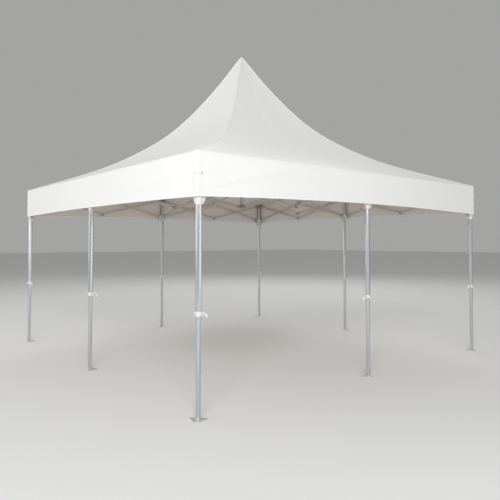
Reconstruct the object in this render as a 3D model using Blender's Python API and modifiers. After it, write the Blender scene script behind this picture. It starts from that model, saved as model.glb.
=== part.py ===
"""Pop-up canopy tent: five metres square, eight telescopic legs, scissor frame and fabric cover.

Metres, +Z up. The origin is on the ground under the centre mast. The front is at -Y.
"""
import bisect
import math

import bmesh
import bpy
from mathutils import Matrix, Vector

# Cover
SIDE = 5.0
HALF = SIDE / 2
EAVE_Z = 2.458
VALANCE_BOTTOM_Z = 2.034
FABRIC = 0.003
VALANCE_BOWS = {"front": 0.045, "right": 0.030, "back": 0.024, "left": 0.022}
# Ridge height above the eave at some distances from the axis along the diagonal
HIP_POINTS = ((0.0, 2.140), (0.5, 1.507), (1.0, 1.012), (1.5, 0.682), (2.25, 0.357), (3.5355, 0.0))
PANEL_SAG = 0.070
ROOF_RINGS = 12
ROOF_STEPS = 6
PEAK_HALF = 0.030
PEAK_HOLE = 0.001
HIP_GAP = 0.0002
VALANCE_STEPS = 12

# Legs
LEG_LINE = 2.460
UPPER_ACROSS = 0.055
LOWER_ACROSS = 0.045
TUBE_WALL = 0.0025
UPPER_BOTTOM_Z = 0.945
LOWER_TOP_Z = 1.250
TOP_BRACKET_LOW_Z = 2.365
GAP = 0.0003

# Foot plate: straight back edge behind the tube, blunt tip in front of it
PLATE_THICK = 0.006
PLATE_BACK = 0.025
PLATE_FRONT = 0.097
PLATE_BACK_HALF = 0.092
PLATE_TIP_HALF = 0.020

# Clamp collar and lever
COLLAR_LOW_Z = 0.932
COLLAR_HIGH_Z = 0.978
COLLAR_ACROSS = 0.068
COLLAR_BOSS_OUT = 0.044
COLLAR_BOSS_HALF = 0.009
PIVOT_OUT = 0.053
PIVOT_Z = 0.955
PIVOT_RADIUS = 0.003
LEVER_WIDTH = 0.022
LEVER_RADIUS = 0.012
LEVER_BEND = (0.020, -0.007)
LEVER_END = (0.040, -0.028)
LEVER_STEPS = 6
CHEEK = 0.004
CHEEK_HALF_HIGH = 0.009

# Scissor frame
UPPER_PIN_Z = 2.410
LOWER_PIN_Z = 2.110
MAST_UPPER_PIN_Z = 2.440
MAST_LOWER_PIN_Z = 2.175
PIN_OUT = 0.062
BAR_HIGH = 0.028
BAR_THICK = 0.0134
BAR_PAST_PIN = 0.012
PLANE_OFFSET = 0.0066
END_LENGTH = 0.027
END_RADIUS = 0.013
END_PIN_RADIUS = 0.004
END_BORE_RADIUS = END_PIN_RADIUS + GAP
FORK_CHEEK = 0.005
FORK_GAP = END_LENGTH + 2 * GAP
FORK_ROOT = 0.0215
FORK_NOSE = 0.003
ROD_SIDES = 6
HUB_HALF = 0.022
HUB_THICK = 0.036

# Sliders
SLIDER_LOW_Z = 1.962
SLIDER_HIGH_Z = 2.140
SLIDER_ACROSS = 0.063
SLIDER_WEB_LOW_Z = 2.045

# Mast
MAST_ACROSS = 0.048
MAST_LOW_Z = 2.150
MAST_PIN_OUT = 0.066
MAST_HEAD_ACROSS = 0.056
MAST_HEAD_HIGH = 0.018
MAST_HUB_ACROSS = 0.062
MAST_HUBS = {"upper": (MAST_UPPER_PIN_Z, -0.030, 0.020), "lower": (MAST_LOWER_PIN_Z, -0.020, 0.030)}

# Boolean cutters run this far past the piece, and added shapes stop this far inside its ends
CUT_PAST = 0.010
INSET = 0.004

# Each leg: place, direction its lever points to, and heading of its foot plate in degrees
LEGS = {
    "front_left": ((-1, -1), (1, 0), 225),
    "front_middle": ((0, -1), (-1, 0), 157.5),
    "front_right": ((1, -1), (-1, 0), 135),
    "right_middle": ((1, 0), (0, -1), 225),
    "back_right": ((1, 1), (0, -1), 157.5),
    "back_middle": ((0, 1), (0, -1), 315),
    "back_left": ((-1, 1), (0, -1), 337.5),
    "left_middle": ((-1, 0), (1, 0), 337.5),
}

for old in list(bpy.data.objects):
    bpy.data.objects.remove(old, do_unlink=True)

PARTS = bpy.data.collections.new("popup_canopy_tent")
bpy.context.scene.collection.children.link(PARTS)


def make_material(name, colour, roughness, metallic):
    material = bpy.data.materials.new(name)
    material.use_nodes = True
    shader = material.node_tree.nodes["Principled BSDF"]
    shader.inputs["Base Color"].default_value = (*colour, 1.0)
    shader.inputs["Roughness"].default_value = roughness
    shader.inputs["Metallic"].default_value = metallic
    return material


ALUMINIUM = make_material("anodised_aluminium", (0.62, 0.63, 0.64), 0.38, 0.9)
NYLON = make_material("pale_grey_nylon", (0.70, 0.70, 0.69), 0.5, 0.0)
CLOTH = make_material("white_coated_fabric", (0.86, 0.86, 0.85), 0.75, 0.0)


def turned(origin, direction):
    """Matrix of a local frame: x along the flat direction, z up, origin in the world."""
    x_axis = Vector((direction[0], direction[1], 0)).normalized()
    y_axis = Vector((0, 0, 1)).cross(x_axis)
    columns = Matrix((x_axis, y_axis, Vector((0, 0, 1)))).transposed().to_4x4()
    return Matrix.Translation(origin) @ columns


def octagon(across, low, high):
    """Closed eight-sided prism with flats facing the axes."""
    shape = bmesh.new()
    radius = across / 2 / math.cos(math.pi / 8)
    bmesh.ops.create_cone(shape, cap_ends=True, segments=8, radius1=radius, radius2=radius,
                          depth=high - low)
    spin = Matrix.Rotation(math.pi / 8, 4, "Z")
    lift = Matrix.Translation((0, 0, (low + high) / 2))
    bmesh.ops.transform(shape, matrix=lift @ spin, verts=shape.verts)
    return shape


def block(low, high):
    """Box between two corners."""
    shape = bmesh.new()
    bmesh.ops.create_cube(shape, size=1.0)
    low = Vector(low)
    high = Vector(high)
    size = high - low
    bmesh.ops.scale(shape, vec=size, verts=shape.verts)
    bmesh.ops.translate(shape, vec=(low + high) / 2, verts=shape.verts)
    return shape


def plate(outline, thick, flat="XZ"):
    """Outline in one plane, given half its thickness to each side of that plane."""
    shape = bmesh.new()
    if flat == "XZ":
        corners = [shape.verts.new((u, thick / 2, v)) for u, v in outline]
        step = Vector((0, -thick, 0))
    else:
        corners = [shape.verts.new((u, v, 0)) for u, v in outline]
        step = Vector((0, 0, thick))
    face = shape.faces.new(corners)
    made = bmesh.ops.extrude_face_region(shape, geom=[face])
    moved = [item for item in made["geom"] if isinstance(item, bmesh.types.BMVert)]
    bmesh.ops.translate(shape, vec=step, verts=moved)
    bmesh.ops.recalc_face_normals(shape, faces=shape.faces)
    return shape


def rod(radius, length, place):
    """Closed pin along Y, centred on its place."""
    shape = bmesh.new()
    bmesh.ops.create_cone(shape, cap_ends=True, segments=ROD_SIDES, radius1=radius, radius2=radius,
                          depth=length)
    spin = Matrix.Rotation(math.pi / 2, 4, "X")
    bmesh.ops.transform(shape, matrix=Matrix.Translation(place) @ spin, verts=shape.verts)
    return shape


def placed(shape, matrix):
    bmesh.ops.transform(shape, matrix=matrix, verts=shape.verts)
    return shape


def as_object(shape, name, material=None):
    mesh = bpy.data.meshes.new(name)
    shape.to_mesh(mesh)
    shape.free()
    made = bpy.data.objects.new(name, mesh)
    PARTS.objects.link(made)
    if material is not None:
        mesh.materials.append(material)
    return made


def combine(base, others, operation):
    """Unite the base with each other shape, or cut them from it, and keep one clean mesh."""
    for index, other in enumerate(others):
        tool = as_object(other, f"{base.name}_tool_{index}")
        step = base.modifiers.new("step", "BOOLEAN")
        step.operation = operation
        step.solver = "EXACT"
        step.object = tool
        evaluated = base.evaluated_get(bpy.context.evaluated_depsgraph_get())
        mesh = bpy.data.meshes.new_from_object(evaluated)
        base.modifiers.clear()
        old = base.data
        base.data = mesh
        bpy.data.meshes.remove(old)
        tool_mesh = tool.data
        bpy.data.objects.remove(tool)
        bpy.data.meshes.remove(tool_mesh)
    return base


def finish(made, name, material):
    """Merge doubles, join coplanar faces and give the piece its name and material."""
    shape = bmesh.new()
    shape.from_mesh(made.data)
    bmesh.ops.remove_doubles(shape, verts=shape.verts, dist=0.00002)
    bmesh.ops.dissolve_limit(shape, angle_limit=math.radians(0.5), verts=shape.verts, edges=shape.edges)
    bmesh.ops.triangulate(shape, faces=shape.faces)
    shape.to_mesh(made.data)
    shape.free()
    made.name = name
    made.data.name = name
    made.data.materials.clear()
    made.data.materials.append(material)
    return made


def leg_place(name):
    (east, north), _, _ = LEGS[name]
    return Vector((east * LEG_LINE, north * LEG_LINE, 0))


def truss_directions(name):
    """Flat directions in which a leg carries trusses: along its sides, and inwards from a middle leg."""
    (east, north), _, _ = LEGS[name]
    if east and north:
        return [(-east, 0), (0, -north)]
    along = (0, 1) if east else (1, 0)
    return [along, (-along[0], -along[1]), (-east, -north)]


def hip_rise(distance):
    """Height of the hip above the eave, smooth through its points."""
    places = [point[0] for point in HIP_POINTS]
    rises = [point[1] for point in HIP_POINTS]
    last = len(places) - 1
    slopes = []
    for index in range(last + 1):
        before = max(index - 1, 0)
        after = min(index + 1, last)
        slopes.append((rises[after] - rises[before]) / (places[after] - places[before]))
    index = min(max(bisect.bisect_right(places, distance) - 1, 0), last - 1)
    span = places[index + 1] - places[index]
    t = (distance - places[index]) / span
    near = (2 * t**3 - 3 * t**2 + 1) * rises[index] + (t**3 - 2 * t**2 + t) * span * slopes[index]
    far = (3 * t**2 - 2 * t**3) * rises[index + 1] + (t**3 - t**2) * span * slopes[index + 1]
    return near + far


def roof_height(x, y):
    """Outer surface of the roof: hips on the diagonals, each panel slack between them."""
    level = max(abs(x), abs(y))
    across = min(abs(x), abs(y)) / level if level > 0 else 1.0
    share = max(level - PEAK_HALF, 0.0) / (HALF - PEAK_HALF)
    slack = PANEL_SAG * 4 * share * (1 - share) * (1 - across**2)
    return EAVE_Z + hip_rise(max(level, PEAK_HALF) * math.sqrt(2)) - slack


def roof_underside(half_width, place):
    """Lowest height of the roof's inner surface over the corners of a square footprint."""
    corners = [(place[0] + a * half_width, place[1] + b * half_width) for a in (-1, 1) for b in (-1, 1)]
    return min(roof_height(min(max(x, -HALF), HALF), min(max(y, -HALF), HALF)) for x, y in corners) - FABRIC


def fork(direction, outline, pin_out, pin_z):
    """Two cheeks either side of the truss plane, and the pin between them."""
    frame = turned((0, 0, 0), direction)
    made = []
    for side in (-1, 1):
        shift = Matrix.Translation((0, side * (FORK_GAP + FORK_CHEEK) / 2, 0))
        made.append(placed(plate(outline, FORK_CHEEK), frame @ shift))
    made.append(placed(rod(END_PIN_RADIUS, FORK_GAP + FORK_CHEEK, (pin_out, 0, pin_z)), frame))
    return made


def make_upper_leg(name):
    """Outer leg tube with the bracket that carries the upper pins of its trusses."""
    place = leg_place(name)
    top = roof_underside(SLIDER_ACROSS / 2, place) - GAP
    shell = as_object(octagon(UPPER_ACROSS, UPPER_BOTTOM_Z + GAP, top), "upper_leg_work")
    reach = PIN_OUT + END_RADIUS + FORK_NOSE
    low = TOP_BRACKET_LOW_Z + INSET
    high = UPPER_PIN_Z + END_RADIUS
    outline = ((FORK_ROOT, low), (UPPER_ACROSS / 2 + INSET, low), (reach, UPPER_PIN_Z - END_RADIUS),
               (reach, high), (FORK_ROOT, high + INSET))
    added = [octagon(SLIDER_ACROSS, TOP_BRACKET_LOW_Z, top)]
    for direction in truss_directions(name):
        added += fork(direction, outline, PIN_OUT, UPPER_PIN_Z)
    combine(shell, added, "UNION")
    bore = octagon(UPPER_ACROSS - 2 * TUBE_WALL, UPPER_BOTTOM_Z - CUT_PAST, TOP_BRACKET_LOW_Z - INSET)
    combine(shell, [bore], "DIFFERENCE")
    finish(shell, f"upper_leg_{name}", ALUMINIUM)
    shell.location = place


def make_slider(name):
    """Bracket round the outer tube that carries the lower pins of its trusses."""
    body = as_object(octagon(SLIDER_ACROSS, SLIDER_LOW_Z, SLIDER_HIGH_Z), "slider_work")
    reach = PIN_OUT + END_RADIUS + FORK_NOSE
    outline = ((FORK_ROOT, SLIDER_LOW_Z + INSET), (SLIDER_ACROSS / 2 + INSET, SLIDER_LOW_Z + INSET),
               (reach, SLIDER_WEB_LOW_Z), (reach, LOWER_PIN_Z + END_RADIUS),
               (FORK_ROOT, SLIDER_HIGH_Z - INSET))
    added = []
    for direction in truss_directions(name):
        added += fork(direction, outline, PIN_OUT, LOWER_PIN_Z)
    combine(body, added, "UNION")
    bore = octagon(UPPER_ACROSS + 2 * GAP, SLIDER_LOW_Z - CUT_PAST, SLIDER_HIGH_Z + CUT_PAST)
    combine(body, [bore], "DIFFERENCE")
    finish(body, f"leg_slider_{name}", NYLON)
    body.location = leg_place(name)


def make_lower_leg(name):
    """Inner leg tube welded to its foot plate."""
    heading = math.radians(LEGS[name][2])
    outline = ((-PLATE_BACK, -PLATE_BACK_HALF), (PLATE_FRONT, -PLATE_TIP_HALF),
               (PLATE_FRONT, PLATE_TIP_HALF), (-PLATE_BACK, PLATE_BACK_HALF))
    foot = placed(plate(outline, PLATE_THICK, "XY"), Matrix.Rotation(heading, 4, "Z"))
    tube = as_object(octagon(LOWER_ACROSS, PLATE_THICK / 2, LOWER_TOP_Z), "lower_leg_work")
    combine(tube, [foot], "UNION")
    bore = octagon(LOWER_ACROSS - 2 * TUBE_WALL, PLATE_THICK, LOWER_TOP_Z + CUT_PAST)
    combine(tube, [bore], "DIFFERENCE")
    finish(tube, f"lower_leg_{name}", ALUMINIUM)
    tube.location = leg_place(name)


def make_clamp(name):
    """Collar at the foot of the outer tube, with two cheeks and a pin for its lever."""
    frame = turned((0, 0, 0), LEGS[name][1])
    body = as_object(octagon(COLLAR_ACROSS, COLLAR_LOW_Z, COLLAR_HIGH_Z), "clamp_work")
    reach = PIVOT_OUT + CHEEK_HALF_HIGH
    outline = ((FORK_ROOT, COLLAR_LOW_Z + INSET), (reach, PIVOT_Z - CHEEK_HALF_HIGH),
               (reach, PIVOT_Z + CHEEK_HALF_HIGH), (FORK_ROOT, COLLAR_HIGH_Z - INSET))
    cheek_shift = LEVER_WIDTH / 2 + GAP + CHEEK / 2
    added = []
    for side in (-1, 1):
        added.append(placed(plate(outline, CHEEK), frame @ Matrix.Translation((0, side * cheek_shift, 0))))
    added.append(placed(rod(PIVOT_RADIUS, 2 * cheek_shift, (PIVOT_OUT, 0, PIVOT_Z)), frame))
    boss = block((-COLLAR_BOSS_OUT, -COLLAR_BOSS_HALF, PIVOT_Z - COLLAR_BOSS_HALF),
                 (0.0, COLLAR_BOSS_HALF, PIVOT_Z + COLLAR_BOSS_HALF))
    added.append(placed(boss, frame))
    combine(body, added, "UNION")
    seat = octagon(UPPER_ACROSS + 2 * GAP, UPPER_BOTTOM_Z, COLLAR_HIGH_Z + CUT_PAST)
    guide = octagon(LOWER_ACROSS + 2 * GAP, COLLAR_LOW_Z - CUT_PAST, COLLAR_HIGH_Z + CUT_PAST)
    combine(body, [seat, guide], "DIFFERENCE")
    finish(body, f"leg_clamp_{name}", NYLON)
    body.location = leg_place(name)


def arc(centre, start, steps):
    """Points of a half circle of the lever's radius, clockwise from a start angle in degrees."""
    angles = [math.radians(start - 180 * index / steps) for index in range(steps + 1)]
    return [(centre[0] + LEVER_RADIUS * math.cos(angle), centre[1] + LEVER_RADIUS * math.sin(angle))
            for angle in angles]


def lever_outline():
    """Round root on the pivot, bent arm that falls outwards, round thumb end."""
    upper_bend, lower_bend = arc(LEVER_BEND, 60, 1)
    return arc((0.0, 0.0), 250, LEVER_STEPS) + [upper_bend] + arc(LEVER_END, 45, LEVER_STEPS) + [lower_bend]


def make_lever(name):
    """Lever with its origin on the pivot; the bore's flats clear the pin's corners at any angle."""
    frame = turned((0, 0, 0), LEGS[name][1])
    arm = as_object(placed(plate(lever_outline(), LEVER_WIDTH), frame), "lever_work")
    bore_radius = (PIVOT_RADIUS + GAP) / math.cos(math.pi / ROD_SIDES)
    combine(arm, [placed(rod(bore_radius, LEVER_WIDTH * 2, (0, 0, 0)), frame)], "DIFFERENCE")
    finish(arm, f"clamp_lever_{name}", NYLON)
    direction = Vector((*LEGS[name][1], 0))
    arm.location = leg_place(name) + direction * PIVOT_OUT + Vector((0, 0, PIVOT_Z))


def bar(start, end, offset):
    """Flat bar between two pin places (distance, height), in a plane beside the truss plane."""
    run = Vector((end[0] - start[0], 0, end[1] - start[1]))
    shape = block((-BAR_PAST_PIN, -BAR_THICK / 2, -BAR_HIGH / 2),
                  (run.length + BAR_PAST_PIN, BAR_THICK / 2, BAR_HIGH / 2))
    tilt = -math.atan2(run.z, run.x)
    turn = Matrix.Rotation(tilt, 4, "Y")
    return placed(shape, Matrix.Translation((start[0], offset, start[1])) @ turn)


def make_truss(name, origin, direction, length, reach_end, end_heights):
    """Two crossed pairs of bars from a leg's fork to the far fork, with hubs where they meet."""
    near_high = (PIN_OUT, UPPER_PIN_Z)
    near_low = (PIN_OUT, LOWER_PIN_Z)
    middle = length / 2
    hub_high = (middle, UPPER_PIN_Z)
    hub_low = (middle, LOWER_PIN_Z)
    far = length - reach_end
    far_high = (far, end_heights[0])
    far_low = (far, end_heights[1])
    base = as_object(bar(near_high, hub_low, PLANE_OFFSET), "truss_work")
    others = [bar(near_low, hub_high, -PLANE_OFFSET), bar(hub_low, far_high, PLANE_OFFSET),
              bar(hub_high, far_low, -PLANE_OFFSET)]
    for hub in (hub_high, hub_low):
        others.append(block((hub[0] - HUB_HALF, -HUB_THICK / 2, hub[1] - HUB_HALF),
                            (hub[0] + HUB_HALF, HUB_THICK / 2, hub[1] + HUB_HALF)))
    for end in (near_high, near_low, far_high, far_low):
        others.append(rod(END_RADIUS, END_LENGTH, (end[0], 0, end[1])))
    combine(base, others, "UNION")
    bores = [rod(END_BORE_RADIUS, END_LENGTH * 2, (end[0], 0, end[1]))
             for end in (near_high, near_low, far_high, far_low)]
    combine(base, bores, "DIFFERENCE")
    finish(base, name, ALUMINIUM)
    base.matrix_world = turned(origin, direction)


def make_mast():
    """Centre tube whose head bears on the peak of the roof."""
    top = EAVE_Z + hip_rise(PEAK_HALF * math.sqrt(2)) - FABRIC - GAP
    tube = as_object(octagon(MAST_ACROSS, MAST_LOW_Z, top - MAST_HEAD_HIGH / 2), "mast_work")
    combine(tube, [octagon(MAST_HEAD_ACROSS, top - MAST_HEAD_HIGH, top)], "UNION")
    bore = octagon(MAST_ACROSS - 2 * TUBE_WALL, MAST_LOW_Z - CUT_PAST, top - MAST_HEAD_HIGH - INSET)
    combine(tube, [bore], "DIFFERENCE")
    finish(tube, "centre_mast", ALUMINIUM)


def make_mast_hub(level):
    """Hub round the mast with a fork for each of the four inner trusses."""
    pin_z, low, high = MAST_HUBS[level]
    body = as_object(octagon(MAST_HUB_ACROSS, pin_z + low, pin_z + high), "hub_work")
    reach = MAST_PIN_OUT + END_RADIUS + FORK_NOSE
    outline = ((FORK_ROOT, pin_z + low + INSET), (reach, pin_z - END_RADIUS),
               (reach, pin_z + END_RADIUS), (FORK_ROOT, pin_z + high - INSET))
    added = []
    for direction in ((1, 0), (-1, 0), (0, 1), (0, -1)):
        added += fork(direction, outline, MAST_PIN_OUT, pin_z)
    combine(body, added, "UNION")
    bore = octagon(MAST_ACROSS + 2 * GAP, pin_z + low - CUT_PAST, pin_z + high + CUT_PAST)
    combine(body, [bore], "DIFFERENCE")
    finish(body, f"mast_{level}_hub", NYLON)


def make_roof_panel(side, turn):
    """One of the four panels, from the flat peak down to the eave, with its edges on the hips."""
    levels = [PEAK_HOLE]
    for ring in range(ROOF_RINGS + 1):
        levels.append(PEAK_HALF + (HALF - PEAK_HALF) * (ring / ROOF_RINGS) ** 1.25)
    rows = len(levels) - 1
    shape = bmesh.new()
    bmesh.ops.create_grid(shape, x_segments=ROOF_STEPS, y_segments=rows, size=1.0)
    for point in shape.verts:
        level = levels[round((1 - point.co.y) / 2 * rows)]
        across = point.co.x * (level - HIP_GAP)
        point.co = (across, -level, roof_height(across, level))
    skin = bmesh.ops.extrude_face_region(shape, geom=list(shape.faces))
    lowered = [item for item in skin["geom"] if isinstance(item, bmesh.types.BMVert)]
    bmesh.ops.translate(shape, vec=(0, 0, -FABRIC), verts=lowered)
    bmesh.ops.recalc_face_normals(shape, faces=shape.faces)
    bmesh.ops.triangulate(shape, faces=shape.faces)
    panel = as_object(shape, f"roof_panel_{side}", CLOTH)
    panel.rotation_euler = (0, 0, turn)


def make_valance():
    """Square band under the eave whose lower edges bow upwards towards the middle of each side."""
    top = EAVE_Z - FABRIC - GAP
    shape = bmesh.new()
    bmesh.ops.create_cone(shape, cap_ends=False, segments=4, radius1=HALF * math.sqrt(2),
                          radius2=HALF * math.sqrt(2), depth=top - VALANCE_BOTTOM_Z)
    spin = Matrix.Rotation(math.pi / 4, 4, "Z")
    lift = Matrix.Translation((0, 0, (top + VALANCE_BOTTOM_Z) / 2))
    bmesh.ops.transform(shape, matrix=lift @ spin, verts=shape.verts)
    for step in range(1, VALANCE_STEPS):
        place = SIDE * step / VALANCE_STEPS - HALF
        for normal in ((1, 0, 0), (0, 1, 0)):
            bmesh.ops.bisect_plane(shape, geom=list(shape.verts) + list(shape.edges) + list(shape.faces),
                                   plane_co=Vector(normal) * place, plane_no=normal)
    for point in shape.verts:
        if point.co.z < VALANCE_BOTTOM_Z + GAP:
            x, y = point.co.x / HALF, point.co.y / HALF
            if abs(y) > abs(x):
                side = "front" if y < 0 else "back"
            else:
                side = "left" if x < 0 else "right"
            point.co.z += VALANCE_BOWS[side] * (1 - min(abs(x), abs(y)) ** 2)
    bmesh.ops.recalc_face_normals(shape, faces=shape.faces)
    band = as_object(shape, "valance", CLOTH)
    wall = band.modifiers.new("fabric", "SOLIDIFY")
    wall.thickness = FABRIC
    wall.offset = -1
    wall.use_even_offset = True


def make_frame():
    for name in LEGS:
        make_upper_leg(name)
        make_slider(name)
        make_clamp(name)
        make_lever(name)
        make_lower_leg(name)
    around = list(LEGS)
    for index, name in enumerate(around):
        other = around[(index + 1) % len(around)]
        start = leg_place(name)
        run = leg_place(other) - start
        make_truss(f"side_truss_{name}_to_{other}", start, (run.x, run.y), LEG_LINE, PIN_OUT,
                   (UPPER_PIN_Z, LOWER_PIN_Z))
    for name in around:
        if "middle" in name:
            start = leg_place(name)
            make_truss(f"inner_truss_{name}", start, (-start.x, -start.y), LEG_LINE, MAST_PIN_OUT,
                       (MAST_UPPER_PIN_Z, MAST_LOWER_PIN_Z))
    make_mast()
    for level in MAST_HUBS:
        make_mast_hub(level)


def make_cover():
    for index, side in enumerate(("front", "right", "back", "left")):
        make_roof_panel(side, index * math.pi / 2)
    make_valance()


make_frame()
make_cover()
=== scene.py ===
"""Dresses the pop-up canopy tent: sewn cover, folding aluminium frame, telescopic legs and a plain studio.

Metres, +Z up, the front of the tent at -Y. Every hard piece is modelled at the origin, then carried to its place
in its mesh, so that its object stays at the origin.
"""
import logging
import math
from collections.abc import Callable, Iterable, Iterator, Sequence
from contextlib import contextmanager
from dataclasses import dataclass
from enum import Enum

import bmesh
import bpy
from mathutils import Matrix, Vector


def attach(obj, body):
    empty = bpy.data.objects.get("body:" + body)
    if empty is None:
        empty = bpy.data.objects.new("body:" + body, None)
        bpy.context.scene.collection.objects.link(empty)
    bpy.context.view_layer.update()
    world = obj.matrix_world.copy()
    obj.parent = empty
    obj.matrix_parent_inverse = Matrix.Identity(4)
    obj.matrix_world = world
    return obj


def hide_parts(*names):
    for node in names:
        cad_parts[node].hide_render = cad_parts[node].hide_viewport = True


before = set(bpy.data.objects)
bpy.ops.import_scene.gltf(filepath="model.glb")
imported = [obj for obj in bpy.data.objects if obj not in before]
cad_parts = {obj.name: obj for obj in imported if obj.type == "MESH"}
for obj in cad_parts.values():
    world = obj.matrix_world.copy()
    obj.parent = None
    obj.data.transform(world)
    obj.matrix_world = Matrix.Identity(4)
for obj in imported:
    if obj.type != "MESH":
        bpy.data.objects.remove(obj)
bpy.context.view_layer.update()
LOG = logging.getLogger("canopy_tent")

Colour = tuple[float, float, float]
Point2 = tuple[float, float]

# Cover, as in the part's own solids
SIDE = 5.0
HALF = SIDE / 2
EAVE_Z = 2.458
VALANCE_BOTTOM_Z = 2.034
PEAK_HALF = 0.030
HIP_POINTS = ((0.0, 2.140), (0.5, 1.507), (1.0, 1.012), (1.5, 0.682), (2.25, 0.357), (3.5355, 0.0))
PANEL_SAG = 0.070
PEAK_EASE = 0.028

# Frame
LEG_LINE = 2.460
UPPER_ACROSS = 0.055
LOWER_ACROSS = 0.045
TUBE_WALL = 0.0025
GAP = 0.0003
PIN_OUT = 0.062
MAST_PIN_OUT = 0.066
UPPER_PIN_Z = 2.410
LOWER_PIN_Z = 2.110
MAST_UPPER_PIN_Z = 2.440
MAST_LOWER_PIN_Z = 2.175
BAR_HIGH = 0.028
BAR_THICK = 0.0134
PLANE_OFFSET = 0.0066
END_LENGTH = 0.027
END_RADIUS = 0.013
FORK_CHEEK = 0.005
FORK_GAP = END_LENGTH + 2 * GAP
PIVOT_OUT = 0.053
PIVOT_Z = 0.955


class Side(Enum):
    """The four sides of the square, each with its turn from the front about +Z."""

    FRONT = 0.0
    RIGHT = math.pi / 2
    BACK = math.pi
    LEFT = -math.pi / 2

    @property
    def turn(self) -> Matrix:
        """Matrix that carries a piece from the front to this side."""
        return Matrix.Rotation(self.value, 4, "Z")


class Pick(Enum):
    """What is selected in edit mode."""

    VERTS = "VERT"
    EDGES = "EDGE"
    FACES = "FACE"


@dataclass(frozen=True)
class LegSite:
    """One leg: its place in the square, the way its lever points and the heading of its foot plate in degrees."""

    name: str
    place: Point2
    lever: Point2
    heading: float

    @property
    def point(self) -> Vector:
        """Where the leg's axis meets the ground."""
        return Vector((self.place[0] * LEG_LINE, self.place[1] * LEG_LINE, 0.0))

    @property
    def is_corner(self) -> bool:
        """Whether the leg stands at a corner of the square."""
        return bool(self.place[0] and self.place[1])

    @property
    def to_ground(self) -> Matrix:
        """Matrix that carries a piece from the origin to the leg's axis."""
        return Matrix.Translation(self.point)

    @property
    def side(self) -> Side:
        """The side of the square that the leg belongs to, as a leg in the middle or at the left end of it."""
        return list(Side)[SITES.index(self) // 2]


SITES = (
    LegSite("front_left", (-1, -1), (1, 0), 225),
    LegSite("front_middle", (0, -1), (-1, 0), 157.5),
    LegSite("front_right", (1, -1), (-1, 0), 135),
    LegSite("right_middle", (1, 0), (0, -1), 225),
    LegSite("back_right", (1, 1), (0, -1), 157.5),
    LegSite("back_middle", (0, 1), (0, -1), 315),
    LegSite("back_left", (-1, 1), (0, -1), 337.5),
    LegSite("left_middle", (-1, 0), (1, 0), 337.5),
)


CORNER_FORKS = ((1.0, 0.0), (0.0, 1.0))
MIDDLE_FORKS = ((1.0, 0.0), (-1.0, 0.0), (0.0, 1.0))
MAST_FORKS = ((1.0, 0.0), (-1.0, 0.0), (0.0, 1.0), (0.0, -1.0))


def heading_matrix(direction: Point2) -> Matrix:
    """Turn about +Z that carries +X to a flat direction."""
    return Matrix.Rotation(math.atan2(direction[1], direction[0]), 4, "Z")


# Materials


class Signal:
    """A value in a material's nodes, on which Python's operators add Math nodes."""

    def __init__(self, graph: "ShaderGraph", socket: bpy.types.NodeSocket) -> None:
        """Wrap one output socket of a graph."""
        self.graph = graph
        self.socket = socket

    def math(self, operation: str, *terms: "Signal | float") -> "Signal":
        """Add a Math node.

        Args:
            operation: the node's operation.
            terms: its inputs in order.

        Returns:
            The node's value.
        """
        return self.graph.node("ShaderNodeMath", {"operation": operation}, dict(enumerate(terms)))

    def __add__(self, other: "Signal | float") -> "Signal":
        """Self plus other."""
        return self.math("ADD", self, other)

    def __radd__(self, other: float) -> "Signal":
        """Other plus self."""
        return self.math("ADD", other, self)

    def __sub__(self, other: "Signal | float") -> "Signal":
        """Self minus other."""
        return self.math("SUBTRACT", self, other)

    def __rsub__(self, other: float) -> "Signal":
        """Other minus self."""
        return self.math("SUBTRACT", other, self)

    def __mul__(self, other: "Signal | float") -> "Signal":
        """Self times other."""
        return self.math("MULTIPLY", self, other)

    def __rmul__(self, other: float) -> "Signal":
        """Other times self."""
        return self.math("MULTIPLY", other, self)

    def __truediv__(self, other: "Signal | float") -> "Signal":
        """Self divided by other."""
        return self.math("DIVIDE", self, other)

    def __rtruediv__(self, other: float) -> "Signal":
        """Other divided by self."""
        return self.math("DIVIDE", other, self)

    def sine(self) -> "Signal":
        """Sine of the value."""
        return self.math("SINE", self)

    def size(self) -> "Signal":
        """The value without its sign."""
        return self.math("ABSOLUTE", self)

    def above(self, level: float) -> "Signal":
        """One where the value is above a level, else zero."""
        return self.math("GREATER_THAN", self, level)

    def eased(self, low: float, high: float) -> "Signal":
        """Smooth step from 0 at low to 1 at high, which may be the smaller of the two.

        Args:
            low: where the step starts.
            high: where the step ends.

        Returns:
            The step.
        """
        return self.graph.node("ShaderNodeMapRange", {"interpolation_type": "SMOOTHSTEP"},
                               {"Value": self, "From Min": low, "From Max": high})


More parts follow.
